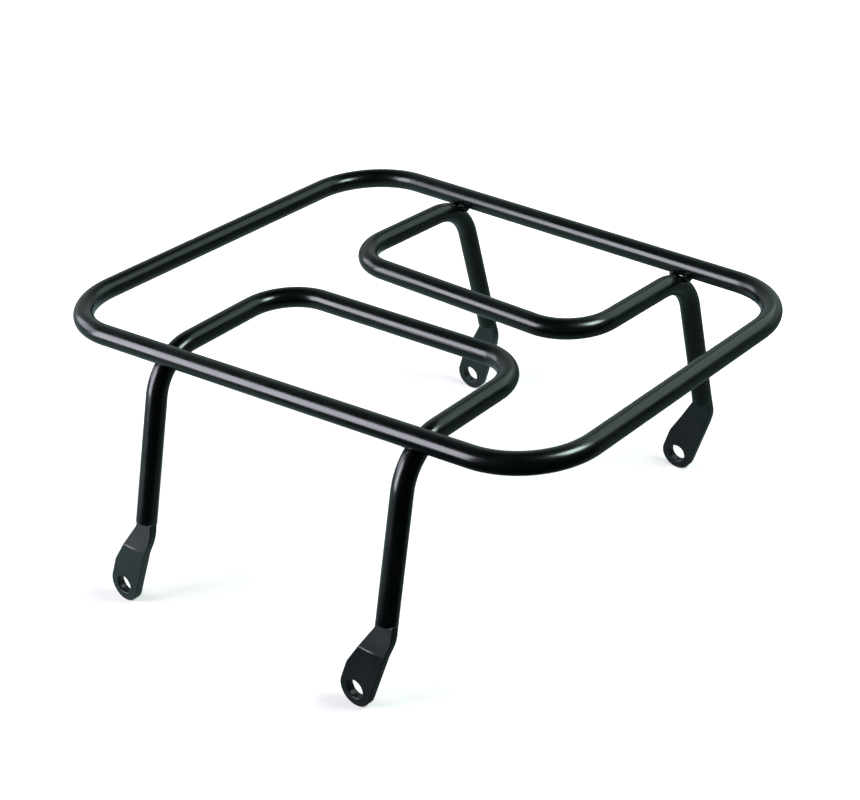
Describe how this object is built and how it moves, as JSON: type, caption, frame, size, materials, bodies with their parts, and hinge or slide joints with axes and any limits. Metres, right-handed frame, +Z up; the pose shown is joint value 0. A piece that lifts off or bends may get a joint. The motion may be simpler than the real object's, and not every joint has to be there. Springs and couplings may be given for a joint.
{
  "type": "motorcycle luggage rack",
  "caption": "Flat-topped black tubular luggage rack: a tapered hoop on U-shaped support tubes whose splayed legs end in folded bolt tabs",
  "frame": {"origin": "centre of the footprint, on the plane through the lower ends of the bolt tabs", "axes": "+X runs along the rack from its wide end to its narrow end, +Y is across it and +Z is up"},
  "size_m": [0.352, 0.3198, 0.1625],
  "materials": {
    "tube": "black powder coat, satin to gloss, on steel tube",
    "tab_plate": "black powder coat, satin, on folded steel plate",
    "weld": "rippled weld bead under black powder coat"
  },
  "bodies": {
    "root": {"top_hoop": "tube", "left_support_tube": "tube", "right_support_tube": "tube", "left_wide_tab": "tab_plate", "right_wide_tab": "tab_plate", "left_narrow_tab": "tab_plate", "right_narrow_tab": "tab_plate", "left_wide_foot_weld": "weld", "right_wide_foot_weld": "weld", "left_narrow_foot_weld": "weld", "right_narrow_foot_weld": "weld", "left_wide_bead_end": "weld", "left_wide_bead_middle": "weld", "right_wide_bead_end": "weld", "right_wide_bead_middle": "weld", "left_narrow_bead_end": "weld", "left_narrow_bead_middle": "weld", "right_narrow_bead_end": "weld", "right_narrow_bead_middle": "weld"}
  },
  "joints": []
}
